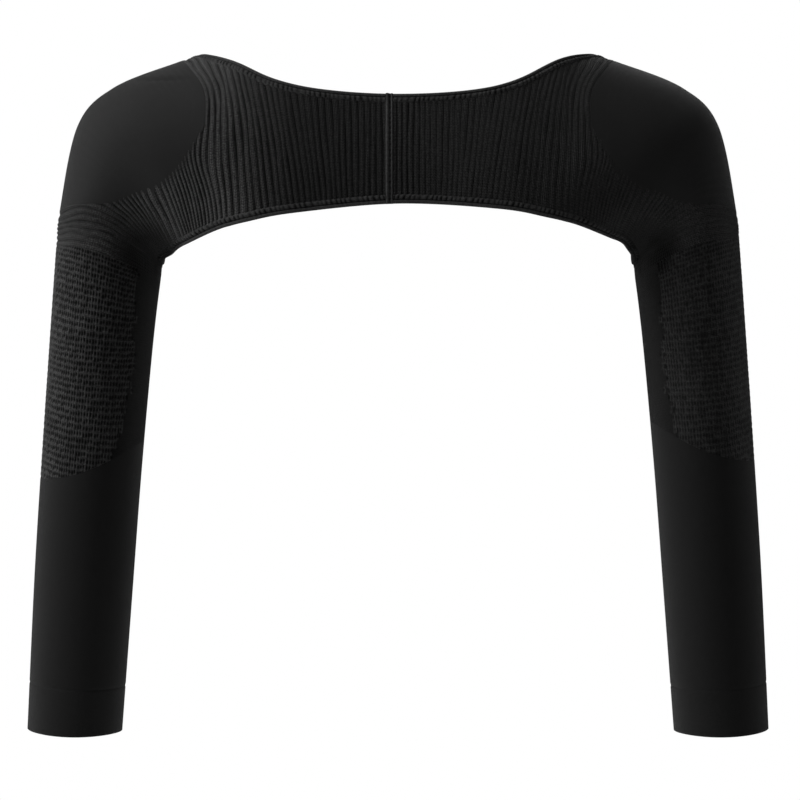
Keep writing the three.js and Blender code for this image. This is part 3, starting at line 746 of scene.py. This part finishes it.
def centre_seam(name):
    """Flat seam: its section of two ridges is carried up the centre back, and stitches, a row of sine bumps,
    cross the valley between."""
    share, height, lift = SEAM_SECTION.T[:, :, None]
    ring = (SEAM_X + share * SEAM_WIDTH) / CENTRE_RING
    low = opening_at(ring, 1)[1]
    high = opening_at(OPENING_END - ring, 1)[1] + 360
    degrees = low + (high - low) * np.linspace(0, 1, SEAM_ROWS)
    ring = np.broadcast_to(ring, degrees.shape)
    run = run_length(skin(ring, degrees), 1)
    part, wave = SEAM_STITCH_WANDER
    stitch = np.abs(np.sin(np.pi * (run / SEAM_STITCH + part * np.sin(run / wave))))
    outer = raised(ring, degrees, height + SEAM_STITCH_LIFT * lift * (stitch - SEAM_STITCH_LEVEL))
    inner = raised(ring, degrees, np.full(degrees.shape, -RIB_WALL))
    # Painted shade: the valley is drawn darker, less where the stitches rise
    valley = (SEAM_DARK_FROM - height) / SEAM_DARK_OVER
    dark = SEAM_PAINTED_SHADE * np.clip(valley * (SEAM_DARK_STITCH - stitch), 0, 1)
    place = np.stack([np.broadcast_to(share * SEAM_WIDTH, degrees.shape), run], -1)
    ids = np.arange(degrees.size).reshape(degrees.shape)
    cells = grid_cells(degrees.shape).reshape(-1, 4)
    return wall(name, 1, outer, inner, cells, ids, place, {"dark": dark})


# Finishes: stitches lean and round off, dye and fuzz vary colour and roughness
LEG_LEAN = 0.55             # share of a row by which a stitch's leg rises across its column
LEG_ROUND = 0.6
GAP_SHADE = 0.3             # colour share left between the legs
DYE_SCALE = 18.0            # clouds and fuzz to the metre
FUZZ_SCALE = 900.0
DYE_DETAIL = 3.0
FUZZ_DETAIL = 2.0
DYE_SHARE = (0.35, 0.8)     # colour share without dye clouds, and what they add
FUZZ_ROUGHNESS = 0.16
SHEEN_ROUGHNESS = 0.42
STITCH_HEIGHT = 0.0004      # metres


def new_group(name, inputs, outputs):
    """Empty shader group with its sockets; numbers have a default, vectors None."""
    tree = bpy.data.node_groups.new(name, "ShaderNodeTree")
    for label, default in inputs:
        kind = "NodeSocketVector" if default is None else "NodeSocketFloat"
        socket = tree.interface.new_socket(label, in_out="INPUT", socket_type=kind)
        if default is not None:
            socket.default_value = default
    for label in outputs:
        tree.interface.new_socket(label, in_out="OUTPUT", socket_type="NodeSocketFloat")
    return tree, tree.nodes.new("NodeGroupInput").outputs, tree.nodes.new("NodeGroupOutput").inputs


def calc(tree, operation, *values):
    """One sum on shader values."""
    node = tree.nodes.new("ShaderNodeMath")
    node.operation = operation
    for socket, value in zip(node.inputs, values):
        if isinstance(value, (int, float)):
            socket.default_value = value
        else:
            tree.links.new(value, socket)
    return node.outputs[0]


def split(tree, vector):
    """First two parts of a shader vector."""
    node = tree.nodes.new("ShaderNodeSeparateXYZ")
    tree.links.new(vector, node.inputs[0])
    return node.outputs[0], node.outputs[1]


def stitch_group():
    """Plain stitches: columns of V shapes. Across a column the two legs rise to its edges, and each leg is a
    rounded bar; Height is the relief and Shade is darker between the legs."""
    inputs = (("Place", None), ("Column", 1.0), ("Row", 1.0))
    tree, given, result = new_group("stitches", inputs, ("Height", "Shade"))
    across, along = split(tree, given["Place"])
    column = calc(tree, "FRACT", calc(tree, "DIVIDE", across, given["Column"]))
    leg = calc(tree, "ABSOLUTE", calc(tree, "MULTIPLY_ADD", column, 2.0, -1.0))
    rows = calc(tree, "DIVIDE", along, given["Row"])
    row = calc(tree, "FRACT", calc(tree, "MULTIPLY_ADD", leg, LEG_LEAN, rows))
    bar = calc(tree, "SINE", calc(tree, "MULTIPLY", row, math.pi))
    width = calc(tree, "SINE", calc(tree, "MULTIPLY", leg, math.pi))
    bar = calc(tree, "POWER", bar, LEG_ROUND)
    width = calc(tree, "POWER", width, LEG_ROUND)
    height = calc(tree, "MULTIPLY", bar, width)
    tree.links.new(height, result["Height"])
    tree.links.new(calc(tree, "MULTIPLY_ADD", height, 1 - GAP_SHADE, GAP_SHADE), result["Shade"])
    return tree


def cloud_group():
    """Uneven dye and lint: broad soft clouds and a fine fuzz, both about one half on average."""
    inputs = (("Place", None), ("Broad", DYE_SCALE), ("Fine", FUZZ_SCALE))
    tree, given, result = new_group("uneven_dye", inputs, ("Cloud", "Fuzz"))
    for scale, detail, output in (("Broad", DYE_DETAIL, "Cloud"), ("Fine", FUZZ_DETAIL, "Fuzz")):
        noise = tree.nodes.new("ShaderNodeTexNoise")
        noise.inputs["Detail"].default_value = detail
        tree.links.new(given["Place"], noise.inputs["Vector"])
        tree.links.new(given[scale], noise.inputs["Scale"])
        tree.links.new(noise.outputs["Fac"], result[output])
    return tree


STITCHES = stitch_group()
UNEVEN_DYE = cloud_group()


def use_group(tree, group, **values):
    """Outputs of a group placed in a material, with its own values or links."""
    node = tree.nodes.new("ShaderNodeGroup")
    node.node_tree = group
    for label, value in values.items():
        if isinstance(value, (int, float)):
            node.inputs[label].default_value = value
        else:
            tree.links.new(value, node.inputs[label])
    return node.outputs


def colour_mix(tree, share, dark, light):
    """Grey from dark to light by a share."""
    node = tree.nodes.new("ShaderNodeMix")
    node.data_type = "RGBA"
    tree.links.new(share, node.inputs["Factor"])
    for socket, value in ((node.inputs[6], dark), (node.inputs[7], light)):
        socket.default_value = (value, value, value, 1.0)
    return node.outputs[2]


def knit_finish(name, dark, light, stitch, bump, roughness, gloss, sheen, grain):
    """Black knit: colour from dark in the hollows to light on the crests, the dark of the hollows being
    painted shade, with stitches, dye and fuzz.
    """
    material = bpy.data.materials.new(name)
    material.use_nodes = True
    tree = material.node_tree
    shader = tree.nodes["Principled BSDF"]
    shader.inputs["Specular IOR Level"].default_value = gloss
    shader.inputs["Sheen Weight"].default_value = sheen
    shader.inputs["Sheen Roughness"].default_value = SHEEN_ROUGHNESS
    shader.inputs["Sheen Tint"].default_value = (1.0, 1.0, 1.0, 1.0)
    uv = tree.nodes.new("ShaderNodeUVMap")
    uv.uv_map = "knit"
    space = tree.nodes.new("ShaderNodeTexCoord")
    stitches = use_group(tree, STITCHES, Place=uv.outputs["UV"], Column=stitch[0], Row=stitch[1])
    dye = use_group(tree, UNEVEN_DYE, Place=space.outputs["Object"])
    cloud = calc(tree, "MULTIPLY_ADD", dye["Cloud"], DYE_SHARE[1], DYE_SHARE[0])
    fuzz = calc(tree, "MULTIPLY_ADD", dye["Fuzz"], grain, 1 - grain / 2)
    share = calc(tree, "MULTIPLY", calc(tree, "MULTIPLY", stitches["Shade"], cloud), fuzz)
    # The dark mark lowers the colour: painted shade in hollows, gaps, the armpit and the less lit areas, and
    # the random flecks of the mesh
    mark = tree.nodes.new("ShaderNodeAttribute")
    mark.attribute_name = "dark"
    share = calc(tree, "MULTIPLY", share, calc(tree, "SUBTRACT", 1.0, mark.outputs["Fac"]))
    tree.links.new(colour_mix(tree, share, dark, light), shader.inputs["Base Color"])
    rough = calc(tree, "MULTIPLY_ADD", dye["Fuzz"], FUZZ_ROUGHNESS, roughness - FUZZ_ROUGHNESS / 2)
    tree.links.new(rough, shader.inputs["Roughness"])
    relief = tree.nodes.new("ShaderNodeBump")
    relief.inputs["Strength"].default_value = bump
    relief.inputs["Distance"].default_value = STITCH_HEIGHT
    tree.links.new(stitches["Height"], relief.inputs["Height"])
    tree.links.new(relief.outputs["Normal"], shader.inputs["Normal"])
    return material


FINISH_TABLE = {
    # slot: name, dark, light, stitch column and row, bump, roughness, gloss, sheen, grain
    "plain_knit": ("plain black knit", 0.003, 0.02, (1.1, 0.85), 0.35, 0.72, 0.15, 0.12, 0.6),
    "rib_knit": ("ribbed black knit", 0.001, 0.1, (1.875, 1.7), 1.0, 0.8, 0.08, 0.1, 2.6),
    "mesh_knit": ("open black knit", 0.001, 0.125, (0.5, 0.25), 0.6, 0.8, 0.08, 0.1, 2.2),
    "edge_knit": ("stitched black edge", 0.001, 0.085, (1.0, 0.8), 0.8, 0.75, 0.1, 0.1, 1.6),
}
FINISHES = {slot: knit_finish(*row) for slot, row in FINISH_TABLE.items()}


def dress(piece, node, slot):
    """Piece stands for its solid, moves with the garment and takes its finish."""
    piece.data.materials.append(FINISHES[slot])
    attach(piece, "root")
    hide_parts(node)
    return piece


def dress_panel(made, node, slot):
    """Piece of knit cut flat and stretched when worn; it is dressed like any piece, and its flat size and
    area are not used.
    """
    piece, (flat, area) = made
    dress(piece, node, slot)
    return piece


seam = dress(centre_seam("back_seam"), "centre_seam", "edge_knit")
for word, side in SIDES:
    edge = dress(hem(f"{word}_edge", side), f"{word}_hem", "edge_knit")
    ribs = dress_panel(yoke(f"{word}_back_ribs", side), f"{word}_yoke", "rib_knit")
    dress_panel(shoulder_cap(f"{word}_cap", side), f"{word}_shoulder_cap", "plain_knit")
    arm = dress_panel(upper_arm(f"{word}_mesh_arm", side), f"{word}_upper_arm", "mesh_knit")
    lines = (mesh_end, cuff_line)
    made = plain_sleeve(f"{word}_lower_arm", side, lines, FOREARM_ROWS, KNIT_WALL, "foot", 0)
    lower = dress_panel(made, f"{word}_forearm", "plain_knit")
    lines = (cuff_line, wrist_line)
    made = plain_sleeve(f"{word}_wrist_cuff", side, lines, CUFF_ROWS, CUFF_WALL, "top", CUFF_ROLL)
    dress_panel(made, f"{word}_cuff", "plain_knit")

# Camera, level behind the garment
CAMERA_PLACE = (0.00128, -2.34, -0.1913)
CAMERA_LENS = 168.75
CAMERA_SENSOR = 36
camera = bpy.data.objects.new("camera", bpy.data.cameras.new("camera"))
camera.location = CAMERA_PLACE
camera.rotation_euler = (math.pi / 2, 0, 0)
camera.data.lens = CAMERA_LENS
camera.data.sensor_width = CAMERA_SENSOR
bpy.context.scene.collection.objects.link(camera)
bpy.context.scene.camera = camera

# Floor, a pale round that fades out
FLOOR_Z = -0.62
FLOOR_REACH = 1.6
FLOOR_FADE = 0.9
FLOOR_POINTS = 96
FLOOR_TONE = (0.9, 0.9, 0.9, 1)
FLOOR_ROUGHNESS = 0.9
angle = np.linspace(0, 2 * np.pi, FLOOR_POINTS, endpoint=False)
level = np.full(FLOOR_POINTS, FLOOR_Z)
floor_points = np.stack([FLOOR_REACH * np.cos(angle), FLOOR_REACH * np.sin(angle), level], -1)
floor_mesh = bpy.data.meshes.new("floor")
floor_mesh.from_pydata(floor_points.tolist(), [], [list(range(FLOOR_POINTS))])
floor = bpy.data.objects.new("floor", floor_mesh)
bpy.context.scene.collection.objects.link(floor)
paper = bpy.data.materials.new("pale floor")
paper.use_nodes = True
paper_tree = paper.node_tree
paper_shader = paper_tree.nodes["Principled BSDF"]
paper_shader.inputs["Base Color"].default_value = FLOOR_TONE
paper_shader.inputs["Roughness"].default_value = FLOOR_ROUGHNESS
paper_place = paper_tree.nodes.new("ShaderNodeTexCoord")
paper_range = paper_tree.nodes.new("ShaderNodeVectorMath")
paper_range.operation = "LENGTH"
paper_tree.links.new(paper_place.outputs["Object"], paper_range.inputs[0])
paper_fade = paper_tree.nodes.new("ShaderNodeMapRange")
paper_fade.inputs["From Min"].default_value = FLOOR_REACH
paper_fade.inputs["From Max"].default_value = FLOOR_FADE
paper_tree.links.new(paper_range.outputs["Value"], paper_fade.inputs["Value"])
paper_tree.links.new(paper_fade.outputs["Result"], paper_shader.inputs["Alpha"])
floor_mesh.materials.append(paper)

# Soft light all round; the background is white
SOFT_LIGHT = 0.015
WHITE = (1, 1, 1, 1)
world = bpy.data.worlds.new("studio")
world.use_nodes = True
world_tree = world.node_tree
soft = world_tree.nodes["Background"]
soft.inputs["Color"].default_value = WHITE
soft.inputs["Strength"].default_value = SOFT_LIGHT
white = world_tree.nodes.new("ShaderNodeBackground")
white.inputs["Color"].default_value = WHITE
white.inputs["Strength"].default_value = 1.0
rays = world_tree.nodes.new("ShaderNodeLightPath")
either = world_tree.nodes.new("ShaderNodeMixShader")
world_tree.links.new(rays.outputs["Is Camera Ray"], either.inputs[0])
world_tree.links.new(soft.outputs[0], either.inputs[1])
world_tree.links.new(white.outputs[0], either.inputs[2])
world_tree.links.new(either.outputs[0], world_tree.nodes["World Output"].inputs["Surface"])
bpy.context.scene.world = world
bpy.context.scene.view_settings.view_transform = "Standard"

# Lamps, all turned to one point
LAMP_AIM = np.array([0.0, 0.05, -0.12])
LAMPS = {
    # name: place, size, watts
    "key": ((-1.9, -0.6, 1.1), 0.8, 45.0),
    "top": ((-0.7, 0.3, 1.7), 0.8, 7.0),
    "back fill": ((-0.3, -2.2, 0.6), 1.0, 4.5),
    "left edge": ((-1.9, 0.5, 0.5), 1.0, 6.0),
    "right edge": ((1.9, 0.2, 0.4), 1.2, 5.0),
    "front": ((0.4, 2.0, 0.9), 1.5, 8.0),
}
for name, (place, size, watts) in LAMPS.items():
    lamp = bpy.data.lights.new(name, "AREA")
    lamp.size = size
    lamp.energy = watts
    holder = bpy.data.objects.new(name, lamp)
    holder.location = place
    x, y, z = LAMP_AIM - np.array(place)
    holder.rotation_euler = (math.atan2(math.hypot(x, y), -z), 0, math.atan2(y, x) - math.pi / 2)
    bpy.context.scene.collection.objects.link(holder)
